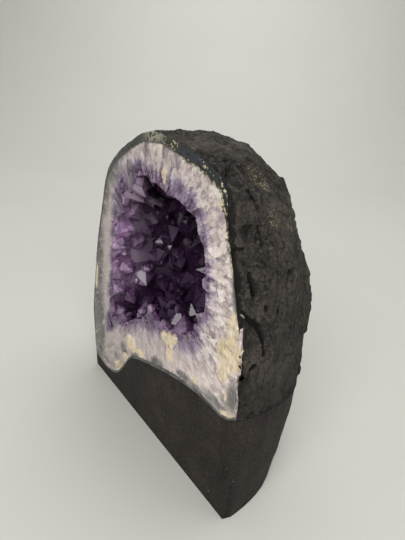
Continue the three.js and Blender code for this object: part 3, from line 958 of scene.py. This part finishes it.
def painted_rock():
    """Black paint on rough rock, with bare gold sand in a few places and pale grains by the cut"""
    finish = Finish("black_painted_rock")
    paint = paint_over(finish, 0.42, 1.15)
    streaks = finish.step(finish.noise(150, finish.stretched(finish.place, (1, 1, 0.16)), detail=3), 0.5, 0.68)
    paint = finish.blend(finish.sum(streaks, 0.35, "MULTIPLY"), paint, WORN_PAINT)
    grains = finish.specks(1150, 0.4, 0.5)
    patchy = finish.noise(240, detail=4, rough=0.7)
    for spot, reach in SANDY:
        away = finish.node("VectorMath", "Value", {0: finish.place, 1: spot}, operation="DISTANCE")
        near = finish.sum(finish.step(away, reach * MM, 0.2 * reach * MM), patchy)
        paint = finish.blend(finish.sum(finish.step(near, 0.6, 1.2), 0.14, "MULTIPLY"), paint, RUSTY_GROUND)
        paint = finish.blend(finish.sum(finish.step(near, 0.8, 1.25), grains, "MULTIPLY"), paint, GOLD_SAND)
    folds = finish.noise(55, finish.stretched(finish.place, (1, 1, 0.5)), detail=3, twist=1.0)
    folds = finish.sum(finish.sum(folds, 0.5, "SUBTRACT"), 0, "ABSOLUTE")
    # painted shade: dark lines in the creases of the folds' relief
    painted_crease_shade = finish.step(folds, 0.022, 0.002)
    paint = finish.blend(finish.sum(painted_crease_shade, 0.5, "MULTIPLY"), paint, DEEP_PAINT_AND_SHADE)
    # painted shade: the rock darker towards the bottom
    low = finish.sum(finish.step(finish.along("Z"), 0.15, 0.075), 0.5, "MULTIPLY")
    paint = finish.blend(low, paint, DEEP_PAINT_AND_SHADE)
    # painted shade in the cracks
    depth = finish.step(finish.field("crack_shade"), 0.25, 0.9)
    paint = finish.blend(finish.sum(depth, 0.85, "MULTIPLY"), paint, DEEP_PAINT_AND_SHADE)
    # painted shadow: a ragged dark strip on the rock along the cut at the upper right
    ragged = finish.sum(finish.along("Y"), finish.sum(finish.noise(230, detail=4), 15 * MM, "MULTIPLY"))
    high = finish.sum(finish.step(finish.along("Z"), 0.12, 0.165), 3.5 * MM, "MULTIPLY")
    ragged = finish.sum(ragged, high, "SUBTRACT")
    by_cut = finish.step(ragged, FACE_Y + 8 * MM, FACE_Y + 6.5 * MM)
    right = finish.step(finish.along("X"), 30 * MM, 55 * MM)
    paint = finish.blend(finish.sum(finish.sum(by_cut, right, "MULTIPLY"), 0.9, "MULTIPLY"), paint, DEEP_PAINT_AND_SHADE)
    relief = finish.bump(finish.step(folds, 0.0, 0.03), 0.8 * MM)
    relief = finish.bump(finish.noise(420, detail=5, rough=0.75), 1.0 * MM, normal=relief)
    relief = finish.bump(finish.noise(130, detail=4, rough=0.65), 1.6 * MM, normal=relief)
    finish.set(Base_Color=paint, Roughness=0.85, Specular_IOR_Level=0.35, Normal=relief)
    return finish.material


def painted_cement():
    """Black paint on trowelled cement, with upright brush streaks and a few pale specks"""
    finish = Finish("black_painted_cement")
    paint = paint_over(finish, 0.2, 0.75)
    streaks = finish.noise(90, finish.stretched(finish.place, (1, 1, 0.12)), detail=4, rough=0.65)
    paint = finish.blend(finish.sum(finish.step(streaks, 0.48, 0.7), 0.3, "MULTIPLY"), paint, WORN_PAINT)
    paint = finish.blend(finish.sum(finish.step(streaks, 0.46, 0.32), 0.45, "MULTIPLY"), paint, DEEP_PAINT_AND_SHADE)
    paint = finish.blend(finish.sum(finish.specks(260, 0.12, 0.06), 0.7, "MULTIPLY"), paint, PALE_GRAINS)
    paint = finish.blend(1.0, paint, tint(205, 197, 196), "MULTIPLY")
    relief = finish.bump(finish.noise(480, detail=5, rough=0.75), 0.8 * MM)
    relief = finish.bump(streaks, 1.2 * MM, 0.7, normal=relief)
    finish.set(Base_Color=paint, Roughness=0.82, Specular_IOR_Level=0.35, Normal=relief)
    return finish.material


def sawn_rock():
    """The rock's own sawn edge: mottled grey, and over the top pale, brown and slate blue in turn"""
    finish = Finish("sawn_rock_edge")
    cloudy = finish.noise(160, detail=4)
    plain = finish.ramp(cloudy, (0.35, tint(58, 60, 59)), (0.52, tint(92, 94, 91)), (0.68, tint(130, 130, 124)))
    along = finish.sum(finish.along("X"), finish.sum(finish.noise(110), 14 * MM, "MULTIPLY"))
    along = finish.node("MapRange", "Result", {"Value": along, "From Min": -50 * MM, "From Max": 90 * MM})
    top = finish.ramp(along, (0.06, tint(84, 86, 82)), (0.14, tint(66, 70, 64)), (0.26, tint(70, 74, 68)),
                      (0.32, tint(168, 162, 144)), (0.42, tint(146, 142, 126)), (0.48, tint(58, 56, 44)),
                      (0.55, tint(54, 54, 46)), (0.6, tint(48, 53, 62)), (0.78, tint(42, 47, 56)),
                      (0.85, tint(34, 36, 34)))
    top = finish.blend(finish.sum(finish.step(cloudy, 0.5, 0.36), 0.6, "MULTIPLY"), top, tint(34, 36, 36))
    coarse = finish.sum(finish.step(along, 0.4, 0.47), finish.step(along, 0.58, 0.53), "MULTIPLY")
    coarse = finish.sum(coarse, finish.step(along, 0.7, 0.78))
    grains = finish.specks(480, 0.5, 0.6, finish.sum_places(finish.noise(300, detail=4), 2.5 * MM))
    top = finish.blend(finish.sum(grains, coarse, "MULTIPLY"), top, tint(204, 196, 164))
    top = finish.blend(finish.step(finish.noise(380, detail=4, rough=0.7), 0.5, 0.38), top, tint(26, 28, 26))
    edge = finish.blend(finish.step(finish.along("Z"), 0.15, 0.18), plain, top)
    relief = finish.bump(finish.noise(500, detail=3), 0.7 * MM)
    finish.set(Base_Color=edge, Roughness=0.45, Normal=relief)
    return finish.material


DEEP_VIOLET = tint(104, 78, 116)
VIOLET_QUARTZ = tint(146, 124, 156)
LILAC_QUARTZ = tint(190, 177, 194)
WHITE_QUARTZ = tint(240, 232, 228)
WARM_QUARTZ = tint(246, 236, 226)


def band_colours(finish):
    """The sawn quartz: violet by the hollow, then sugary white quartz, with grey agate and calcite"""
    grain = finish.node("UVMap", "UV", {}, uv_map="grain")
    out = finish.along("Y", grain)
    fibres = finish.noise(1, finish.stretched(grain, (420, 90, 1)), detail=4, rough=0.6, twist=0.5)
    broad = finish.noise(1, finish.stretched(grain, (120, 45, 1)), detail=3, rough=0.5, twist=0.4)
    column = finish.own_tone(1, finish.stretched(grain, (150, 60, 1)), "MANHATTAN")
    blocks = finish.stretched(grain, (270, 140, 1))
    sugar = finish.own_tone(1, blocks)
    fine = finish.own_tone(1, finish.stretched(grain, (640, 420, 1)))
    mottle = finish.noise(90, detail=5, rough=0.65)
    wander = finish.sum(finish.sum(column, 9 * MM, "MULTIPLY"), finish.sum(broad, 16 * MM, "MULTIPLY"))
    reach = finish.sum(finish.sum(out, wander), 12.5 * MM, "SUBTRACT")
    cores = finish.sum(finish.step(finish.cells(95), 0.5, 0.1), 5 * MM, "MULTIPLY")
    reach = finish.sum(reach, cores, "SUBTRACT")
    lower = finish.step(finish.along("Z"), 0.125, 0.085)
    cloudy = finish.sum(finish.sum(mottle, 16 * MM, "MULTIPLY"), 3 * MM, "SUBTRACT")
    reach = finish.sum(reach, finish.sum(lower, cloudy, "MULTIPLY"), "SUBTRACT")
    top = finish.sum(finish.step(finish.along("Z"), 0.185, 0.215), 1.5 * MM, "MULTIPLY")
    reach = finish.sum(reach, top, "SUBTRACT")
    left = finish.step(finish.along("X"), -35 * MM, -75 * MM)
    soft = finish.sum(finish.sum(lower, 0.65, "MULTIPLY"), finish.sum(left, 0.85, "MULTIPLY"), "MAXIMUM")
    reach = finish.sum(reach, finish.sum(finish.field("violet"), 11 * MM, "MULTIPLY"), "SUBTRACT")
    level = finish.node("MapRange", "Result", {"Value": reach, "From Min": -17 * MM, "From Max": 6 * MM})
    stone = finish.ramp(level, (0, DEEP_VIOLET), (0.22, VIOLET_QUARTZ), (0.45, LILAC_QUARTZ),
                        (0.68, WHITE_QUARTZ), (1, WARM_QUARTZ))
    agate = finish.step(finish.sum(finish.field("agate"), finish.sum(mottle, 0.3, "MULTIPLY")), 0.5, 0.85)
    grey = finish.ramp(broad, (0.36, tint(82, 81, 84)), (0.5, tint(112, 108, 107)), (0.66, tint(150, 145, 141)))
    stone = finish.blend(finish.sum(agate, 0.92, "MULTIPLY"), stone, grey)
    facets = finish.sum(finish.sum(sugar, 0.55, "MULTIPLY"), finish.sum(fine, 0.45, "MULTIPLY"))
    shading = finish.ramp(facets, (0.1, tint(164, 152, 172)), (0.5, tint(230, 224, 229)), (0.85, tint(255, 255, 255)))
    shading = finish.blend(soft, shading, tint(232, 226, 231))
    stone = finish.blend(finish.step(agate, 1.1, 0.2), stone, finish.blend(1.0, stone, shading, "MULTIPLY"))
    # painted light and shade: the band darker on the left and brighter to the right, as the light falls
    across = finish.node("MapRange", "Result", {"Value": finish.along("X"), "From Min": -95 * MM, "From Max": 80 * MM})
    across = finish.ramp(across, (0, tint(206, 205, 206)), (0.6, tint(228, 227, 228)), (1, tint(255, 255, 255)))
    stone = finish.blend(1.0, stone, across, "MULTIPLY")
    lines = finish.sum(finish.step(fibres, 0.44, 0.3), 0.35, "MULTIPLY")
    stone = finish.blend(lines, stone, tint(148, 134, 156))
    milk = finish.sum(finish.step(fibres, 0.54, 0.72), 0.5, "MULTIPLY")
    stone = finish.blend(milk, stone, tint(238, 232, 228))
    ribs = finish.noise(1, finish.stretched(finish.place, (520, 60, 110)), detail=4, rough=0.6, twist=0.4)
    cream = finish.ramp(ribs, (0.32, tint(196, 172, 136)), (0.46, tint(228, 208, 174)), (0.56, tint(236, 221, 192)),
                        (0.7, tint(250, 242, 226)))
    ragged = finish.sum(finish.sum(mottle, 0.4, "MULTIPLY"), finish.sum(ribs, 0.2, "MULTIPLY"))
    chalk = finish.step(finish.sum(finish.field("calcite"), ragged), 0.72, 0.86)
    stone = finish.blend(finish.sum(chalk, 0.92, "MULTIPLY"), stone, cream)
    tilt = finish.node("VectorMath", "Vector", {0: finish.cells(1, blocks, "Color"), 1: (0.5, 0.5, 0.5)},
                       operation="SUBTRACT")
    glint = finish.sum(0.75, finish.sum(soft, 0.5, "MULTIPLY"), "SUBTRACT")
    tilt = finish.node("VectorMath", "Vector", {0: tilt, "Scale": glint}, operation="SCALE")
    flat = finish.node("NewGeometry", "Normal", {})
    tilted = finish.node("VectorMath", "Vector", {0: flat, 1: tilt}, operation="ADD")
    tilted = finish.node("VectorMath", "Vector", {0: tilted}, operation="NORMALIZE")
    return stone, fibres, mottle, tilted


def polished_band():
    """Sawn and polished quartz, a little open and glittering where it is coarse"""
    finish = Finish("polished_quartz_band")
    stone, fibres, mottle, tilted = band_colours(finish)
    rim = finish.step(finish.sum(finish.field("band"), finish.sum(mottle, 0.16, "MULTIPLY")), 1.04, 1.1)
    rim = finish.sum(rim, finish.step(finish.along("X"), 60 * MM, 40 * MM), "MULTIPLY")
    stone = finish.blend(finish.sum(rim, 0.8, "MULTIPLY"), stone, tint(70, 72, 76))
    edge = finish.sum(finish.field("band"), finish.sum(finish.noise(330, detail=3), 0.3, "MULTIPLY"))
    upper = finish.sum(finish.step(finish.along("X"), 14 * MM, 32 * MM),
                       finish.step(finish.along("Z"), 0.168, 0.18), "MULTIPLY")
    crumbs = finish.sum(finish.step(edge, 1.06, 1.11), upper, "MULTIPLY")
    lit = finish.step(finish.noise(420, detail=3), 0.47, 0.54)
    crumb = finish.blend(lit, tint(46, 46, 40), tint(228, 216, 180))
    stone = finish.blend(finish.sum(crumbs, 0.92, "MULTIPLY"), stone, crumb)
    relief = finish.bump(fibres, 0.3 * MM, 0.5, normal=tilted)
    relief = finish.bump(finish.cells(520), 0.4 * MM, 0.6, normal=relief)
    finish.set(Base_Color=stone, Roughness=finish.sum(finish.sum(mottle, 0.5, "MULTIPLY"), 0.08),
               Normal=relief, Subsurface_Weight=0.15, Subsurface_Scale=3 * MM,
               Subsurface_Radius=(1.0, 0.8, 1.0))
    return finish.material


def sawn_amethyst():
    """The crust where the saw went through it: deep violet points between paler ones"""
    finish = Finish("sawn_amethyst")
    stone, fibres, _, tilted = band_colours(finish)
    relief = finish.bump(fibres, 0.3 * MM, 0.6, normal=tilted)
    relief = finish.bump(finish.cells(400), 0.4 * MM, 0.6, normal=relief)
    finish.set(Base_Color=stone, Roughness=0.22, Normal=relief, Subsurface_Weight=0.25,
               Subsurface_Scale=3 * MM, Subsurface_Radius=(0.8, 0.5, 1.0))
    return finish.material


def lit_side(finish):
    """1 on the hollow's left side near the cut and 0 in the depth: a mask of painted light and shade"""
    depth = finish.sum(finish.along("Y"), finish.sum(finish.noise(60), 16 * MM, "MULTIPLY"))
    near = finish.step(depth, FACE_Y + 50 * MM, FACE_Y + 14 * MM)
    side = finish.sum(finish.step(finish.along("X"), -34 * MM, -48 * MM),
                      finish.step(finish.along("Z"), 0.066, 0.104), "MULTIPLY")
    side = finish.sum(side, finish.step(finish.along("Z"), 0.206, 0.184), "MULTIPLY")
    return finish.sum(near, side, "MULTIPLY")


def crystal_bed():
    """The lilac quartz under the crystals, painted pale where light falls and dark violet as painted shade in the
    depth
    """
    finish = Finish("quartz_under_crystals")
    cloudy = finish.noise(60, detail=3)
    pale = finish.blend(finish.step(cloudy, 0.4, 0.65), tint(164, 124, 172), tint(218, 194, 220))
    dark = finish.blend(finish.step(finish.noise(180, detail=3), 0.4, 0.65), tint(58, 32, 72), tint(124, 90, 132))
    # painted light and shade: pale on the lit left side near the cut, dark in the depth
    stone = finish.blend(lit_side(finish), dark, pale)
    finish.set(Base_Color=stone, Roughness=0.6)
    return finish.material


def amethyst():
    """Violet crystal, clear; nearly black in the depth by painted shade, paler and milky on the left and by the cut by
    painted light
    """
    finish = Finish("amethyst")
    facet = finish.field("facet")
    # painted light: the crystal paler and milkier on the lit left side and by the cut, darker in the depth
    by_cut = finish.step(finish.along("Y"), FACE_Y + 16 * MM, FACE_Y + 3 * MM)
    pale = finish.sum(finish.sum(lit_side(finish), 0.95, "MULTIPLY"), finish.sum(by_cut, 0.6, "MULTIPLY"), "MAXIMUM")
    veils = finish.step(finish.noise(230, detail=4, rough=0.6, twist=0.6), 0.44, 0.66)
    # painted shade: fewer pale frosted facets towards the bottom of the hollow
    low = finish.step(finish.along("Z"), 0.098, 0.122)
    frosted = finish.sum(finish.step(facet, 0.74, 0.82), finish.sum(finish.sum(low, 0.7, "MULTIPLY"), 0.3), "MULTIPLY")
    body = finish.blend(pale, tint(92, 56, 102), finish.blend(facet, tint(186, 138, 198), tint(240, 208, 242)))
    veiled = finish.sum(veils, finish.sum(finish.sum(pale, 0.35, "MULTIPLY"), 0.12), "MULTIPLY")
    body = finish.blend(veiled, body, tint(200, 170, 204))
    body = finish.blend(finish.sum(frosted, 0.6, "MULTIPLY"), body, tint(158, 144, 162))
    cloud = finish.sum(finish.sum(veils, 0.6, "MULTIPLY"), finish.sum(facet, 0.3, "MULTIPLY"))
    milky = finish.sum(finish.sum(pale, finish.sum(cloud, 0.7, "MULTIPLY"), "MULTIPLY"), 0.3)
    milky = finish.sum(milky, finish.sum(frosted, 0.2, "MULTIPLY"))
    clear = finish.sum(0.97, milky, "SUBTRACT", clamp=True)
    lines = finish.noise(1, finish.stretched(finish.place, (200, 200, 500)), detail=2)
    relief = finish.bump(lines, 0.01 * MM, 0.3)
    polish = finish.sum(finish.sum(finish.step(facet, 0.55, 0.95), 0.25, "MULTIPLY"), 0.05)
    finish.set(Base_Color=body, Roughness=polish, Transmission_Weight=clear, IOR=1.55, Normal=relief)
    absorb = finish.tree.nodes.new("ShaderNodeVolumeAbsorption")
    absorb.inputs["Color"].default_value = (0.6, 0.14, 0.62, 1)
    absorb.inputs["Density"].default_value = 200
    output = finish.tree.nodes["Material Output"]
    finish.tree.links.new(absorb.outputs[0], output.inputs["Volume"])
    return finish.material


# Studio

PAPER = tint(218, 217, 211)
PAPER_SHADE = tint(213, 212, 205)
EYE = Vector((0.2285, FACE_Y - 0.1416, 0.2565))
CAMERA_RIGHT = Vector((0.6023, 0.7930, 0.0918))
CAMERA_UP = Vector((-0.3598, 0.1671, 0.9179))
CAMERA_BACK = Vector((0.7126, -0.5859, 0.3859))


def set_camera():
    """The camera in front of the cut face, to its right and above it"""
    lens = bpy.data.cameras.new("camera")
    lens.sensor_width = 36
    lens.lens = 36 * 406 / 540
    camera = bpy.data.objects.new("camera", lens)
    bpy.context.scene.collection.objects.link(camera)
    axes = Matrix((CAMERA_RIGHT, CAMERA_UP, CAMERA_BACK)).transposed()
    camera.matrix_world = Matrix.Translation(EYE) @ axes.to_4x4()
    bpy.context.scene.camera = camera


def soft_box(name, place, target, size, power, colour=(1, 1, 1)):
    """A square lamp that looks at a point"""
    lamp = bpy.data.lights.new(name, "AREA")
    lamp.size = size
    lamp.energy = power
    lamp.color = colour
    holder = bpy.data.objects.new(name, lamp)
    bpy.context.scene.collection.objects.link(holder)
    away = Vector(place) - Vector(target)
    holder.matrix_world = Matrix.Translation(place) @ away.to_track_quat("Z", "Y").to_matrix().to_4x4()


def pale_sweep():
    """A pale paper sweep: a floor that curves up into a wall behind the object"""
    bpy.ops.mesh.primitive_plane_add(size=5)
    sweep = bpy.context.object
    sweep.name = "pale_sweep"
    ends = edges_of(sweep)
    far = (points_of(sweep)[ends][:, :, 1] > 0).all(axis=1)
    choose(sweep, "EDGE", far)
    bpy.ops.object.mode_set(mode="EDIT")
    bpy.ops.mesh.extrude_region_move(TRANSFORM_OT_translate={"value": (0, 0, 3)})
    bpy.ops.object.mode_set(mode="OBJECT")
    places = points_of(sweep)[edges_of(sweep)]
    corner = (places[:, :, 1] > 0).all(axis=1) & (np.abs(places[:, :, 2]) < MM).all(axis=1)
    choose(sweep, "EDGE", corner)
    bpy.ops.object.mode_set(mode="EDIT")
    bpy.ops.mesh.bevel(offset=1.4, segments=24)
    bpy.ops.object.mode_set(mode="OBJECT")
    heading = math.atan2(-CAMERA_BACK.y, -CAMERA_BACK.x) - math.pi / 2
    sweep.data.transform(Matrix.Rotation(heading, 4, "Z"))
    paper = Finish("pale_paper")
    paper.set(Base_Color=paper.blend(paper.noise(3), PAPER, PAPER_SHADE), Roughness=0.9,
              Specular_IOR_Level=0.1)
    finish_of(sweep, paper.material)
    shade(sweep, 60)


def room_light():
    """Pale light all round, weaker from in front, so that the crystal faces mirror light and dark"""
    world = bpy.data.worlds.new("studio")
    world.use_nodes = True
    tree = world.node_tree
    place = tree.nodes.new("ShaderNodeTexCoord")
    facing = tree.nodes.new("ShaderNodeVectorMath")
    facing.operation = "DOT_PRODUCT"
    facing.inputs[1].default_value = CAMERA_BACK
    strength = tree.nodes.new("ShaderNodeMapRange")
    for name, value in (("From Min", -0.3), ("From Max", 0.9), ("To Min", 0.66), ("To Max", 0.26)):
        strength.inputs[name].default_value = value
    glow = tree.nodes["Background"]
    glow.inputs["Color"].default_value = tint(219, 219, 216)
    tree.links.new(place.outputs["Generated"], facing.inputs[0])
    tree.links.new(facing.outputs["Value"], strength.inputs["Value"])
    tree.links.new(strength.outputs["Result"], glow.inputs["Strength"])
    bpy.context.scene.world = world


def studio():
    """A pale sweep and soft light from above, in front and the right"""
    pale_sweep()
    room_light()
    soft_box("front_light", (0.62, -1.24, 1.2), (0, 0, 0.12), 1.0, 14, (1, 0.99, 0.97))
    soft_box("side_light", (1.2, -0.5, 0.9), (0, FACE_Y, 0.14), 0.5, 5)
    soft_box("top_light", (0.25, 0.3, 1.5), (0, 0, 0.1), 0.7, 5)
    behind = -CAMERA_BACK
    soft_box("wall_light", (1.1 * behind.x, 1.1 * behind.y, 1.9), (2.3 * behind.x, 2.3 * behind.y, 0.9), 1.0, 19)
    bpy.context.scene.view_settings.view_transform = "Standard"


def main():
    set_camera()
    studio()
    band, edges = quartz_band()
    rock = rock_shell(edges)
    foot = cement_foot()
    druse = amethyst_druse(edges)
    for piece, node, slot in ((rock, "rock_rind", "rind"), (foot, "cement_base", "cement"),
                              (band, "quartz_wall", "quartz"), (druse, "amethyst_crust", "amethyst")):
        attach(piece, "root")
        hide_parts(node)


main()
